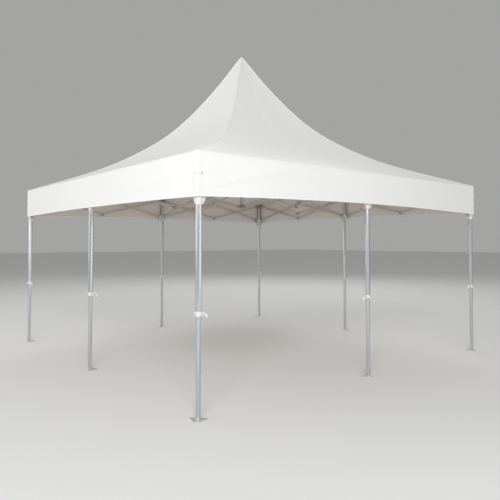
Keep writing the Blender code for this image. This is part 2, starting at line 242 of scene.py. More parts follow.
class ShaderGraph:
    """The nodes of one material round its Principled shader."""

    def __init__(self, name: str) -> None:
        """Start a material with that name."""
        self.material = bpy.data.materials.new(name)
        self.material.use_nodes = True
        self.tree = self.material.node_tree
        self.shader = self.tree.nodes["Principled BSDF"]

    def node(self, kind: str, settings: dict[str, object], inputs: dict[str | int, object],
             output: str | int = 0) -> Signal:
        """Add one node of any kind.

        Args:
            kind: the node's type.
            settings: its properties, which are set before its sockets.
            inputs: values or signals by socket name or number.
            output: the socket that is returned.

        Returns:
            The chosen output.
        """
        made = self.tree.nodes.new(kind)
        for key, value in settings.items():
            setattr(made, key, value)
        for key, value in inputs.items():
            self.feed(made.inputs[key], value)
        return Signal(self, made.outputs[output])

    def feed(self, socket: bpy.types.NodeSocket, value: object) -> None:
        """Link a signal to a socket, or set the socket to a plain value."""
        if isinstance(value, Signal):
            self.tree.links.new(value.socket, socket)
        else:
            socket.default_value = value

    def attribute(self, name: str) -> Signal:
        """The vector stored on the piece's points under a name."""
        return self.node("ShaderNodeAttribute", {"attribute_name": name}, {}, "Vector")

    def axis(self, vector: Signal, letter: str) -> Signal:
        """One coordinate of a vector."""
        return self.node("ShaderNodeSeparateXYZ", {}, {0: vector}, letter)

    def scaled(self, vector: Signal, scale: Colour) -> Signal:
        """A vector stretched along its axes."""
        return self.node("ShaderNodeVectorMath", {"operation": "MULTIPLY"}, {0: vector, 1: scale})

    def noise(self, vector: Signal, scale: float, detail: float = 2.0) -> Signal:
        """Soft noise from 0 to 1.

        Args:
            vector: where it is read.
            scale: its features to the metre.
            detail: how many finer layers it has.

        Returns:
            The noise.
        """
        return self.node("ShaderNodeTexNoise", {}, {"Vector": vector, "Scale": scale, "Detail": detail}, "Fac")

    def blend(self, share: "Signal | float", first: Colour, second: Colour | Signal) -> Signal:
        """Mix two colours.

        Args:
            share: how much of the second shows.
            first: colour at share 0.
            second: colour at share 1.

        Returns:
            The mixed colour.
        """
        made = self.tree.nodes.new("ShaderNodeMix")
        made.data_type = "RGBA"
        self.feed(made.inputs["Factor"], share)
        for socket, value in zip([s for s in made.inputs if s.type == "RGBA"], (first, second)):
            self.feed(socket, value if isinstance(value, Signal) else (*value, 1.0))
        return Signal(self, next(s for s in made.outputs if s.type == "RGBA"))

    def finish(self, colour: Signal, roughness: Signal, height: Signal, strength: float = 1.0) -> None:
        """Connect what varies over the surface.

        Args:
            colour: base colour.
            roughness: roughness.
            height: bump height in metres.
            strength: share of the bump that is kept.
        """
        self.feed(self.shader.inputs["Base Color"], colour)
        self.feed(self.shader.inputs["Roughness"], roughness)
        bump = self.node("ShaderNodeBump", {}, {"Height": height, "Distance": 1.0, "Strength": strength})
        self.feed(self.shader.inputs["Normal"], bump)

    def set(self, **values: float) -> None:
        """Set plain numbers on the shader's own sockets, with _ for a space in a name."""
        for key, value in values.items():
            self.shader.inputs[key.replace("_", " ")].default_value = value


@dataclass(frozen=True)
class CoatedCloth:
    """Woven polyester with a matt coating, which reads its run, height and seam distance in metres."""

    name: str
    colour: Colour
    shade: Colour
    threads: float = 900.0
    weave_depth: float = 0.00005
    crumple_depth: float = 0.0010
    fold_depth: float = 0.010
    stitch_pitch: float = 0.006
    stitch_lines: tuple[float, ...] = (0.006, 0.021)
    seam_width: float = 0.026

    def material(self) -> bpy.types.Material:
        """Build the cloth's nodes.

        Returns:
            The material.
        """
        graph = ShaderGraph(self.name)
        cloth = graph.attribute("cloth")
        run = graph.axis(cloth, "X")
        drop = graph.axis(cloth, "Y")
        seam = graph.axis(cloth, "Z")
        flat = graph.scaled(cloth, (1.0, 1.0, 0.0))
        cloudy = graph.noise(flat, 0.9)
        creased = graph.noise(graph.scaled(cloth, (1.0, 2.2, 0.0)), 7.0, 3.0)
        fine = graph.noise(flat, 60.0, 1.0)
        weave = (run * (self.threads * math.pi)).sine() * (drop * (self.threads * math.pi)).sine()
        doubled = seam.eased(self.seam_width, self.seam_width - 0.002)
        stitches = None
        for line in self.stitch_lines:
            row = ((seam - line).size()).eased(0.0014, 0.0005)
            stitches = row if stitches is None else stitches + row
        dashes = ((run + drop) * (2 * math.pi / self.stitch_pitch)).sine().above(-0.35)
        stitches = stitches * dashes
        tone = cloudy * 0.45 + creased * 0.20 + fine * 0.10 + doubled * 0.10 + stitches * 0.25
        height = (weave * self.weave_depth + creased * self.crumple_depth + cloudy * self.fold_depth
                  + doubled * 0.0004 - stitches * 0.0004)
        graph.finish(graph.blend(tone, self.colour, self.shade), 0.56 + creased * 0.12 + fine * 0.06, height)
        graph.set(Specular_IOR_Level=0.35)
        return graph.material


@dataclass(frozen=True)
class Aluminium:
    """Extruded and anodised profile, drawn along the grain's Z axis."""

    name: str
    colour: Colour
    worn: Colour
    roughness: float
    metal: float = 0.88

    def material(self) -> bpy.types.Material:
        """Build the metal's nodes.

        Returns:
            The material.
        """
        graph = ShaderGraph(self.name)
        grain = graph.attribute("grain")
        drawn = graph.noise(graph.scaled(grain, (1.0, 1.0, 0.006)), 900.0, 2.0)
        bands = graph.noise(graph.scaled(grain, (1.0, 1.0, 0.02)), 120.0, 1.0)
        handled = graph.noise(grain, 14.0, 3.0)
        scuffs = graph.noise(graph.scaled(grain, (1.0, 1.0, 0.25)), 160.0, 2.0).eased(0.62, 0.74)
        tone = bands * 0.35 + handled * 0.35 + scuffs * 0.3
        rough = self.roughness + drawn * 0.10 + handled * 0.08 + scuffs * 0.08 - 0.10
        graph.finish(graph.blend(tone, self.colour, self.worn), rough, drawn * 0.00002 + bands * 0.00003)
        graph.set(Metallic=self.metal)
        return graph.material


@dataclass(frozen=True)
class MouldedNylon:
    """Glass-filled nylon with a fine spark-eroded texture."""

    name: str
    colour: Colour
    shade: Colour
    roughness: float = 0.46

    def material(self) -> bpy.types.Material:
        """Build the plastic's nodes.

        Returns:
            The material.
        """
        graph = ShaderGraph(self.name)
        grain = graph.attribute("grain")
        texture = graph.noise(grain, 1400.0, 2.0)
        flow = graph.noise(grain, 45.0, 2.0)
        marks = graph.noise(grain, 220.0, 3.0).eased(0.60, 0.72)
        tone = texture * 0.25 + flow * 0.45 + marks * 0.30
        graph.finish(graph.blend(tone, self.colour, self.shade),
                     self.roughness + texture * 0.10 + flow * 0.08 - marks * 0.06,
                     texture * 0.00003 + flow * 0.00010)
        graph.set(Specular_IOR_Level=0.45)
        return graph.material


@dataclass(frozen=True)
class PlatedSteel:
    """Zinc-plated bolts and rings, or duller galvanised plate."""

    name: str
    colour: Colour
    dull: Colour
    gloss: float = 1.0

    def material(self) -> bpy.types.Material:
        """Build the plating's nodes.

        Returns:
            The material.
        """
        graph = ShaderGraph(self.name)
        grain = graph.attribute("grain")
        spangle = graph.noise(grain, 500.0, 3.0)
        tarnish = graph.noise(grain, 130.0, 2.0)
        graph.finish(graph.blend(spangle * 0.4 + tarnish * 0.6, self.colour, self.dull),
                     0.54 - 0.30 * self.gloss + spangle * 0.12 + tarnish * 0.14, spangle * 0.00002)
        graph.set(Metallic=self.gloss)
        return graph.material


@dataclass(frozen=True)
class StudioFloor:
    """Plain pale floor."""

    name: str
    colour: Colour

    def material(self) -> bpy.types.Material:
        """Build the floor's nodes.

        Returns:
            The material.
        """
        graph = ShaderGraph(self.name)
        place = graph.node("ShaderNodeTexCoord", {}, {}, "Object")
        mottle = graph.noise(place, 0.8)
        graph.finish(graph.blend(mottle * 0.3, self.colour, tuple(0.94 * c for c in self.colour)),
                     0.78 + mottle * 0.1, mottle * 0.0001)
        return graph.material


@dataclass(frozen=True)
class Palette:
    """Every material of the tent, made once."""

    roof: bpy.types.Material
    valance: bpy.types.Material
    # inside face of the cover: the same cloth, warmer and darker, as painted shade under the roof
    inside: bpy.types.Material
    trim: bpy.types.Material
    tube: bpy.types.Material
    bar: bpy.types.Material
    nylon: bpy.types.Material
    joint: bpy.types.Material
    lever: bpy.types.Material
    steel: bpy.types.Material
    zinc: bpy.types.Material

    @classmethod
    def mix(cls) -> "Palette":
        """Make the materials from their finishes."""
        return cls(
            # The roof cloth is a little darker than the valance cloth: that difference is painted shade on the
            # roof's slopes.
            roof=CoatedCloth("roof_cloth", (0.832, 0.832, 0.817), (0.772, 0.772, 0.752)).material(),
            valance=CoatedCloth("valance_cloth", (0.86, 0.86, 0.85), (0.78, 0.78, 0.77),
                                fold_depth=0.006).material(),
            # The inside face is the same white cloth given a warmer, slightly darker colour: painted shade for the
            # underside of the cover.
            inside=CoatedCloth("inside_cloth_painted_shade", (0.82, 0.755, 0.71), (0.74, 0.68, 0.64)).material(),
            trim=CoatedCloth("trim_webbing", (0.88, 0.88, 0.87), (0.80, 0.80, 0.79), threads=500.0,
                             fold_depth=0.0, stitch_lines=(0.003,), seam_width=0.0).material(),
            tube=Aluminium("tube_aluminium", (0.64, 0.665, 0.69), (0.52, 0.54, 0.56), 0.25, 0.97).material(),
            bar=Aluminium("bar_aluminium", (0.64, 0.62, 0.585), (0.54, 0.52, 0.49), 0.48).material(),
            nylon=MouldedNylon("bracket_nylon", (0.74, 0.74, 0.72), (0.62, 0.62, 0.60)).material(),
            joint=MouldedNylon("joint_nylon", (0.36, 0.34, 0.32), (0.28, 0.265, 0.25), 0.42).material(),
            lever=MouldedNylon("lever_nylon", (0.80, 0.80, 0.78), (0.70, 0.70, 0.68), 0.38).material(),
            steel=PlatedSteel("plated_steel", (0.78, 0.78, 0.77), (0.58, 0.58, 0.57)).material(),
            zinc=PlatedSteel("galvanised_plate", (0.68, 0.69, 0.69), (0.54, 0.55, 0.55), 0.55).material(),
        )


# Modelling


def lay_cloth(piece: bpy.types.Object, values: Sequence[Colour]) -> None:
    """Store the run, height and seam distance of each point on its faces' corners, so that sewing keeps them apart.

    Args:
        piece: an open sheet or a trim.
        values: three numbers for each vertex.
    """
    cloth = piece.data.attributes.new("cloth", "FLOAT_VECTOR", "CORNER")
    cloth.data.foreach_set("vector", [value for loop in piece.data.loops for value in values[loop.vertex_index]])


def take(*pieces: bpy.types.Object) -> None:
    """Select only these pieces, with the first one active."""
    bpy.ops.object.select_all(action="DESELECT")
    for piece in pieces:
        piece.select_set(True)
    bpy.context.view_layer.objects.active = pieces[0]


@contextmanager
def editing(piece: bpy.types.Object, pick: Pick = Pick.EDGES) -> Iterator[None]:
    """Keep a piece in edit mode with nothing selected.

    Args:
        piece: what is edited.
        pick: the kind of element that is selected.
    """
    take(piece)
    bpy.ops.object.mode_set(mode="EDIT")
    bpy.ops.mesh.select_mode(type=pick.value)
    bpy.ops.mesh.select_all(action="DESELECT")
    yield
    bpy.ops.object.mode_set(mode="OBJECT")


def pick_edges(piece: bpy.types.Object, test: Callable[[Vector, Vector], bool]) -> None:
    """In edit mode, select the edges whose middle and direction pass a test."""
    shape = bmesh.from_edit_mesh(piece.data)
    for edge in shape.edges:
        first, second = (vert.co for vert in edge.verts)
        edge.select_set(test((first + second) / 2, (second - first).normalized()))
    bmesh.update_edit_mesh(piece.data)


def pick_faces(piece: bpy.types.Object, test: Callable[[Vector, Vector], bool]) -> None:
    """In edit mode, select the faces whose middle and normal pass a test."""
    shape = bmesh.from_edit_mesh(piece.data)
    for face in shape.faces:
        face.select_set(test(face.calc_center_median(), face.normal))
    bmesh.update_edit_mesh(piece.data)


def pick_verts(piece: bpy.types.Object, test: Callable[[Vector], bool]) -> None:
    """In edit mode, select the vertices whose place passes a test."""
    shape = bmesh.from_edit_mesh(piece.data)
    for vert in shape.verts:
        vert.select_set(test(vert.co))
    shape.select_flush_mode()
    bmesh.update_edit_mesh(piece.data)


def settle(name: str) -> bpy.types.Object:
    """Name the new primitive and apply its place to its mesh."""
    made = bpy.context.object
    made.name = name
    made.data.name = name
    take(made)
    bpy.ops.object.transform_apply(location=True, rotation=True, scale=True)
    return made


def block(name: str, low: Sequence[float], high: Sequence[float]) -> bpy.types.Object:
    """Box between two corners."""
    bpy.ops.object.select_all(action="DESELECT")
    bpy.ops.mesh.primitive_cube_add(size=1.0, location=[(a + b) / 2 for a, b in zip(low, high)])
    bpy.context.object.scale = [b - a for a, b in zip(low, high)]
    return settle(name)


def drum(name: str, sides: int, radius: float, low: float, high: float, top_radius: float | None = None,
         turn: float = 0.0, fill: str = "NGON") -> bpy.types.Object:
    """Upright prism or cone about the Z axis.

    Args:
        name: its name.
        sides: how many sides it has.
        radius: radius of its corners at the bottom.
        low: its lowest height.
        high: its highest height.
        top_radius: radius at the top, if it isn't the same.
        turn: turn about Z in radians.
        fill: how its ends are filled.

    Returns:
        The new piece.
    """
    bpy.ops.object.select_all(action="DESELECT")
    bpy.ops.mesh.primitive_cone_add(vertices=sides, radius1=radius,
                                    radius2=radius if top_radius is None else top_radius, depth=high - low,
                                    end_fill_type=fill, location=(0, 0, (low + high) / 2), rotation=(0, 0, turn))
    return settle(name)


def octagon(name: str, across: float, low: float, high: float, fill: str = "NGON") -> bpy.types.Object:
    """Eight-sided prism with flats facing the axes."""
    return drum(name, 8, across / 2 / math.cos(math.pi / 8), low, high, turn=math.pi / 8, fill=fill)


def crosswise(piece: bpy.types.Object, place: Sequence[float]) -> bpy.types.Object:
    """Lay an upright piece along Y and carry it to a place."""
    piece.data.transform(Matrix.Translation(place) @ Matrix.Rotation(math.pi / 2, 4, "X"))
    return piece


def apply_modifier(piece: bpy.types.Object, kind: str, **settings: object) -> None:
    """Add a modifier, set it and apply it.

    Args:
        piece: what it changes.
        kind: the modifier's type.
        settings: its properties.
    """
    step = piece.modifiers.new("step", kind)
    for key, value in settings.items():
        setattr(step, key, value)
    take(piece)
    bpy.ops.object.modifier_apply(modifier=step.name)


def soften(piece: bpy.types.Object, width: float, segments: int = 2, angle: float = 30.0) -> bpy.types.Object:
    """Round every edge sharper than an angle."""
    apply_modifier(piece, "BEVEL", width=width, segments=segments, limit_method="ANGLE",
                   angle_limit=math.radians(angle), use_clamp_overlap=True)
    return piece


def fuse(base: bpy.types.Object, others: Iterable[bpy.types.Object], operation: str = "UNION") -> bpy.types.Object:
    """Unite others with a piece, or cut them from it, and remove them.

    Args:
        base: the piece that is kept.
        others: the tools.
        operation: UNION or DIFFERENCE.

    Returns:
        The base.
    """
    for other in others:
        apply_modifier(base, "BOOLEAN", operation=operation, solver="EXACT", object=other)
        bpy.data.objects.remove(other, do_unlink=True)
    close_up(base)
    return base


def close_up(piece: bpy.types.Object) -> None:
    """Merge points that lie on each other and dissolve slivers."""
    with editing(piece, Pick.VERTS):
        bpy.ops.mesh.select_all(action="SELECT")
        bpy.ops.mesh.remove_doubles(threshold=0.00002)
        bpy.ops.mesh.dissolve_degenerate(threshold=0.00002)


def join(name: str, pieces: Sequence[bpy.types.Object]) -> bpy.types.Object:
    """Make several pieces one object under a name."""
    take(*pieces)
    if len(pieces) > 1:
        bpy.ops.object.join()
    made = bpy.context.object
    made.name = name
    made.data.name = name
    return made


def dress(piece: bpy.types.Object, material: bpy.types.Material, smooth: float = 35.0,
          swap: str = "XYZ") -> bpy.types.Object:
    """Give a hard piece its material, its grain and soft shading on its curved faces.

    Args:
        piece: what is dressed.
        material: its material.
        smooth: faces that meet below this angle in degrees shade as one.
        swap: which of the piece's axes the grain's X, Y and Z read; its Z runs along the metal.

    Returns:
        The piece.
    """
    piece.data.materials.clear()
    piece.data.materials.append(material)
    order = ["XYZ".index(letter) for letter in swap]
    grain = piece.data.attributes.get("grain") or piece.data.attributes.new("grain", "FLOAT_VECTOR", "POINT")
    values = [vert.co[index] for vert in piece.data.vertices for index in order]
    grain.data.foreach_set("vector", values)
    take(piece)
    bpy.ops.object.shade_smooth_by_angle(angle=math.radians(smooth))
    apply_modifier(piece, "WEIGHTED_NORMAL", keep_sharp=True)
    return piece


def carry(piece: bpy.types.Object, matrix: Matrix, name: str | None = None) -> bpy.types.Object:
    """Move a piece within its mesh, or a copy of it under a new name.

    Args:
        piece: what is moved or copied.
        matrix: where it goes.
        name: the copy's name; without it the piece itself moves.

    Returns:
        The moved piece.
    """
    if name is not None:
        piece = piece.copy()
        piece.data = piece.data.copy()
        piece.name = name
        piece.data.name = name
        bpy.context.scene.collection.objects.link(piece)
    piece.data.transform(matrix)
    return piece


def discard(*pieces: bpy.types.Object) -> None:
    """Remove patterns that have been copied."""
    for piece in pieces:
        bpy.data.objects.remove(piece, do_unlink=True)


def hang(piece: bpy.types.Object, body: str, slot: str, *nodes: str) -> None:
    """Attach a finished piece to the body it rides on and hide the CAD solids it stands for.

    Args:
        piece: the finished piece.
        body: the body it moves with.
        slot: the material slot; not used.
        nodes: CAD nodes that it replaces.
    """
    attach(piece, body)
    if nodes:
        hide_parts(*nodes)
    LOG.info("%s rides on %s", piece.name, body)


def bolt(length: float, radius: float = 0.0042, nut: bool = True) -> bpy.types.Object:
    """Domed hexagon bolt along Y with washers, its two bearing faces a length apart.

    Args:
        length: distance between the faces that it clamps.
        radius: radius of its shank.
        nut: whether the far end has a nut and a stub of thread.

    Returns:
        The bolt, centred on the origin.
    """
    half = length / 2
    washer = drum("bolt_washer", 16, radius * 2.1, half, half + 0.0010)
    head = drum("bolt_head", 6, radius * 1.75, half + 0.0010, half + radius * 1.3)
    with editing(head):
        pick_edges(head, lambda middle, run: middle.z > half + radius and abs(run.z) < 0.1)
        bpy.ops.mesh.bevel(offset=radius * 0.3, segments=2)
    parts = [washer, head]
    if nut:
        parts.append(drum("bolt_back_washer", 16, radius * 2.1, -half - 0.0010, -half))
        parts.append(drum("bolt_nut", 6, radius * 1.75, -half - radius * 1.6, -half - 0.0010))
        parts.append(soften(drum("bolt_stub", 12, radius, -half - radius * 2.2, -half - radius * 1.5), radius * 0.2))
    made = join("bolt", parts)
    return crosswise(made, (0, 0, 0))


# Frame


@dataclass
class ForkedBracket:
    """Moulded sleeve round a tube, with a fork for each truss that starts there."""

    across: float
    bore: float
    low: float
    high: float
    pin_z: float
    pin_out: float
    web_low: float
    closed_top: bool = False
    root: float = 0.020
    edge: float = 0.0012
    ribs: tuple[float, ...] = ()
    dark: bool = False

    def cheek(self, sign: int) -> bpy.types.Object:
        """One cheek of a fork along +X, with a round nose about the pin.

        Args:
            sign: which side of the truss it stands on.

        Returns:
            The cheek.
        """
        reach = self.pin_out + END_RADIUS + 0.003
        inner = FORK_GAP / 2
        span = sorted((sign * inner, sign * (inner + FORK_CHEEK)))
        top = min(self.high - 0.003, self.pin_z + END_RADIUS + 0.006)
        made = block("cheek", (self.root, span[0], self.low + 0.004), (reach, span[1], top))
        knee = self.across / 2 + 0.004
        with editing(made, Pick.VERTS):
            bpy.ops.mesh.select_all(action="SELECT")
            bpy.ops.mesh.bisect(plane_co=(knee, 0, 0), plane_no=(1, 0, 0))
            pick_verts(made, lambda co: co.x > knee + 0.001 and co.z < self.low + 0.005)
            bpy.ops.transform.translate(value=(0, 0, self.web_low - self.low - 0.004))
            pick_verts(made, lambda co: co.x > knee + 0.001 and co.z > top - 0.001)
            bpy.ops.transform.translate(value=(0, 0, self.pin_z + END_RADIUS + 0.001 - top))
            bpy.ops.mesh.select_mode(type="EDGE")
            pick_edges(made, lambda middle, run: middle.x > reach - 0.001 and abs(run.y) > 0.9)
            bpy.ops.mesh.bevel(offset=END_RADIUS * 0.75, segments=5)
        return soften(made, self.edge)

    def boss(self, sign: int) -> bpy.types.Object:
        """Raised ring round the pin on the outside of a cheek."""
        outer = FORK_GAP / 2 + FORK_CHEEK
        span = sorted((-sign * (outer - 0.0021), -sign * (outer + 0.0018)))
        ring = soften(drum("boss", 24, 0.0105, span[0], span[1], turn=0.03), 0.0008)
        return crosswise(ring, (self.pin_out, 0, self.pin_z))

    def build(self, name: str, directions: Sequence[Point2]) -> bpy.types.Object:
        """Model the bracket about the tube's axis.

        Args:
            name: the piece's name.
            directions: flat directions of its forks.

        Returns:
            The moulded body without its bolts.
        """
        body = soften(octagon(name, self.across, self.low, self.high), 0.004, 3)
        for rib in self.ribs:
            fuse(body, [soften(octagon("rib", self.across + 0.004, rib - 0.003, rib + 0.003), self.edge)])
        for direction in directions:
            turn = heading_matrix(direction)
            arms = [self.cheek(-1), self.cheek(1), self.boss(-1), self.boss(1)]
            for arm in arms:
                arm.data.transform(turn)
            fuse(body, arms)
        top = self.high - 0.006 if self.closed_top else self.high + 0.010
        fuse(body, [octagon("bore", self.bore, self.low - 0.010, top)], "DIFFERENCE")
        return body

    def bolts(self, name: str, directions: Sequence[Point2]) -> bpy.types.Object:
        """Bolts through the forks.

        Args:
            name: the piece's name.
            directions: flat directions of the forks.

        Returns:
            All the bolts as one piece.
        """
        made = []
        for direction in directions:
            pin = bolt(FORK_GAP + 2 * FORK_CHEEK + 0.0036)
            pin.data.transform(heading_matrix(direction) @ Matrix.Translation((self.pin_out, 0, self.pin_z)))
            made.append(pin)
        return join(name, made)


    def build_pair(self, name: str, directions: Sequence[Point2],
                   palette: Palette) -> tuple[bpy.types.Object, bpy.types.Object]:
        """Dressed bracket and its bolts.

        Args:
            name: the bracket's name, from which the bolts take theirs.
            directions: flat directions of its forks.
            palette: the tent's materials.

        Returns:
            The bracket and the bolts.
        """
        return (dress(self.build(name, directions), palette.joint if self.dark else palette.nylon),
                dress(self.bolts(f"{name}_bolts", directions), palette.steel))


@dataclass
class TelescopicLegs:
    """Eight legs: outer and inner tubes, brackets, sliders, clamps, levers and foot plates."""

    palette: Palette
    upper_low: float = 0.9453
    lower_high: float = 1.250
    collar: Point2 = (0.932, 0.978)
    collar_across: float = 0.068
    plate_thick: float = 0.006
    plate_reach: Point2 = (-0.025, 0.097)
    plate_halves: Point2 = (0.092, 0.020)
    lever_wide: float = 0.022
    lever_draws: tuple[tuple[float, float, float], ...] = (
        (0.009, 8.0, 0.97), (0.009, 16.0, 0.97), (0.009, 20.0, 1.0), (0.008, 16.0, 1.10), (0.008, 8.0, 1.14))
    lever_nose: float = 0.0139
    lever_grips: tuple[Colour, ...] = ((0.0395, 0, -0.0148), (0.0430, 0, -0.0200), (0.0444, 0, -0.0262))

    def tube(self, name: str, across: float, low: float, high: float) -> bpy.types.Object:
        """Octagonal extrusion with rounded corners and a real wall.

        Args:
            name: the piece's name.
            across: distance across its flats.
            low: its lowest height.
            high: its highest height.

        Returns:
            The dressed tube.
        """
        made = octagon(name, across, low, high, fill="NOTHING")
        with editing(made):
            pick_edges(made, lambda middle, run: abs(run.z) > 0.9)
            bpy.ops.mesh.bevel(offset=0.0028, segments=3)
        apply_modifier(made, "SOLIDIFY", thickness=TUBE_WALL, offset=-1.0, use_even_offset=True)
        return dress(made, self.palette.tube)

    def top_bracket(self) -> ForkedBracket:
        """Fixed bracket at the head of a leg."""
        top = Cover.underside(0.0315)
        return ForkedBracket(0.063, UPPER_ACROSS + GAP, 2.365, top - 0.001, UPPER_PIN_Z, PIN_OUT,
                             UPPER_PIN_Z - END_RADIUS, closed_top=True, dark=True)

    def slider(self, corner: bool) -> ForkedBracket:
        """Sliding bracket that carries the lower pins, with a longer sleeve on the corner legs.

        Args:
            corner: whether it is for a corner leg.

        Returns:
            The bracket's sizes.
        """
        low, web_low, ribs = (1.962, 2.045, (1.972, 2.000)) if corner else (2.018, 2.066, (2.028,))
        return ForkedBracket(0.063, UPPER_ACROSS + 2 * GAP, low, 2.140, LOWER_PIN_Z, PIN_OUT, web_low, ribs=ribs)

    def collar_body(self) -> bpy.types.Object:
        """Clamp collar, with its split boss behind and its lever cheeks in front along +X.

        Returns:
            The moulded collar.
        """
        low, high = self.collar
        middle = PIVOT_Z
        body = soften(octagon("clamp_collar", self.collar_across, low, high), 0.005, 3)
        boss = crosswise(drum("clamp_boss", 28, 0.0135, -0.0125, 0.0125), (-0.0335, 0, middle))
        fuse(body, [soften(boss, 0.0025, 3)])
        cheek_low = self.lever_wide / 2 + GAP
        for sign in (-1, 1):
            span = sorted((sign * cheek_low, sign * (cheek_low + 0.004)))
            cheek = block("clamp_cheek", (0.020, span[0], low + 0.005), (PIVOT_OUT + 0.010, span[1], high - 0.005))
            with editing(cheek):
                pick_edges(cheek, lambda place, run: place.x > PIVOT_OUT and abs(run.y) > 0.9)
                bpy.ops.mesh.bevel(offset=0.0095, segments=6)
            fuse(body, [soften(cheek, 0.0010)])
        fuse(body, [octagon("clamp_seat", UPPER_ACROSS + 2 * GAP, self.upper_low, high + 0.010),
                    octagon("clamp_guide", LOWER_ACROSS + 2 * GAP, low - 0.010, high + 0.010)], "DIFFERENCE")
        slot = block("clamp_slot", (-0.055, -0.0012, low - 0.010), (-0.026, 0.0012, high + 0.010))
        return fuse(body, [slot], "DIFFERENCE")

    def clamp_bolts(self) -> bpy.types.Object:
        """The boss's screw and the lever's pivot pin."""
        screw = bolt(0.0250, 0.0035)
        screw.data.transform(Matrix.Translation((-0.0390, 0, PIVOT_Z)))
        shaft = bolt(2 * (self.lever_wide / 2 + GAP + 0.004), 0.0032)
        shaft.data.transform(Matrix.Translation((PIVOT_OUT, 0, PIVOT_Z)))
        return join("clamp_bolts", [screw, shaft])

    def lever_arm(self) -> bpy.types.Object:
        """Cam lever along +X from its pivot: half a drum, its flat face drawn out and down to a round thumb end.

        Returns:
            The lever about the origin's pivot.
        """
        half = self.lever_wide / 2
        arm = crosswise(drum("clamp_lever", 24, 0.0118, -half, half), (0, 0, 0))
        nose, heading = Vector(), 0.0
        with editing(arm, Pick.FACES):
            bpy.ops.mesh.select_all(action="SELECT")
            bpy.ops.mesh.bisect(plane_co=(0, 0, 0), plane_no=(1, 0, 0), use_fill=True, clear_outer=True)
            pick_faces(arm, lambda middle, normal: normal.x > 0.9)
            for reach, turn, swell in (*self.lever_draws, (self.lever_nose, 0.0, 1.0)):
                heading += math.radians(turn)
                step = Vector((reach * math.cos(heading), 0, -reach * math.sin(heading)))
                nose += step
                bpy.ops.mesh.extrude_region_move(TRANSFORM_OT_translate={"value": step})
                bpy.ops.transform.rotate(value=-math.radians(turn), orient_axis="Y", center_override=nose)
                bpy.ops.transform.resize(value=(swell, 1, swell), center_override=nose)
        ahead = Vector((math.cos(heading), 0, -math.sin(heading)))
        with editing(arm, Pick.EDGES):
            pick_edges(arm, lambda middle, along: abs(along.y) > 0.9 and (middle - nose).dot(ahead) > -0.0001)
            bpy.ops.mesh.bevel(offset=self.lever_nose * 0.99, segments=6, clamp_overlap=False)
        soften(arm, 0.0020, 3, 50.0)
        grips = [crosswise(drum("grip", 12, 0.0013, -half * 0.65, half * 0.65), place) for place in self.lever_grips]
        fuse(arm, grips, "DIFFERENCE")
        return fuse(arm, [crosswise(drum("lever_hole", 24, 0.0036, -0.03, 0.03), (0, 0, 0))], "DIFFERENCE")

    def foot_plate(self) -> bpy.types.Object:
        """Blunt three-cornered plate with peg holes, its straight edge behind the tube at -X.

        Returns:
            The plate with its weld.
        """
        back, front = self.plate_reach
        wide, narrow = self.plate_halves
        plate = block("foot_plate", (back, -wide, 0.0), (front, wide, self.plate_thick))
        with editing(plate, Pick.VERTS):
            pick_verts(plate, lambda co: co.x > 0)
            bpy.ops.transform.resize(value=(1, narrow / wide, 1), center_override=(0, 0, 0))
            bpy.ops.mesh.select_mode(type="EDGE")
            pick_edges(plate, lambda place, run: abs(run.z) > 0.9)
            bpy.ops.mesh.bevel(offset=0.010, segments=5)
        holes = [drum("peg_hole", 24, 0.0055, -0.01, 0.02) for _ in range(3)]
        for hole, place in zip(holes, ((-0.010, 0.068, 0), (-0.010, -0.068, 0), (0.072, 0.0, 0))):
            hole.data.transform(Matrix.Translation(place))
        fuse(plate, holes, "DIFFERENCE")
        return soften(plate, 0.0009)

    def foot_weld(self) -> bpy.types.Object:
        """Bead that joins the inner tube to its plate, under the tube's own turn."""
        corner = 1 / math.cos(math.pi / 8) / 2
        weld = drum("foot_weld", 8, (LOWER_ACROSS + 0.009) * corner, self.plate_thick - 0.0005,
                    self.plate_thick + 0.0042, (LOWER_ACROSS + 0.0015) * corner, turn=math.pi / 8)
        bore = octagon("weld_bore", LOWER_ACROSS - 0.001, 0.0, 0.02)
        return soften(fuse(weld, [bore], "DIFFERENCE"), 0.0006)

    def build(self) -> None:
        """Model each pattern once and copy it to every leg."""
        top = Cover.underside(0.0315) - 0.006
        outer = self.tube("outer_tube", UPPER_ACROSS, self.upper_low, top - 0.001)
        inner = self.tube("inner_tube", LOWER_ACROSS, self.plate_thick - 0.001, self.lower_high)
        weld = dress(self.foot_weld(), self.palette.zinc)
        plate = dress(self.foot_plate(), self.palette.zinc)
        collar = dress(self.collar_body(), self.palette.nylon)
        screws = dress(self.clamp_bolts(), self.palette.steel)
        lever = dress(self.lever_arm(), self.palette.lever)
        brackets = {(kind, corner): sizes.build_pair(f"{kind}_pattern", forks, self.palette)
                    for corner, forks in ((True, CORNER_FORKS), (False, MIDDLE_FORKS))
                    for kind, sizes in (("top_bracket", self.top_bracket()), ("slider", self.slider(corner)))}
        for site in SITES:
            here = site.to_ground
            lever_turn = heading_matrix(site.lever)
            hang(carry(outer, here, f"outer_tube_{site.name}"), "root", "leg_aluminium", f"upper_leg_{site.name}")
            for kind, nodes in (("top_bracket", []), ("slider", [f"leg_slider_{site.name}"])):
                body, pins = brackets[kind, site.is_corner]
                turned = here @ site.side.turn
                hang(carry(body, turned, f"{kind}_{site.name}"), "root", "bracket_plastic", *nodes)
                hang(carry(pins, turned, f"{kind}_bolts_{site.name}"), "root", "bracket_plastic")
            hang(carry(collar, here @ lever_turn, f"clamp_{site.name}"), "root", "bracket_plastic",
                 f"leg_clamp_{site.name}")
            hang(carry(screws, here @ lever_turn, f"clamp_bolts_{site.name}"), "root", "bracket_plastic")
            at_pivot = here @ lever_turn @ Matrix.Translation((PIVOT_OUT, 0, PIVOT_Z))
            hang(carry(lever, at_pivot, f"lever_{site.name}"), f"clamp_lever_{site.name}", "lever_plastic",
                 f"clamp_lever_{site.name}")
            body_name = f"lower_leg_{site.name}"
            foot_turn = Matrix.Rotation(math.radians(site.heading), 4, "Z")
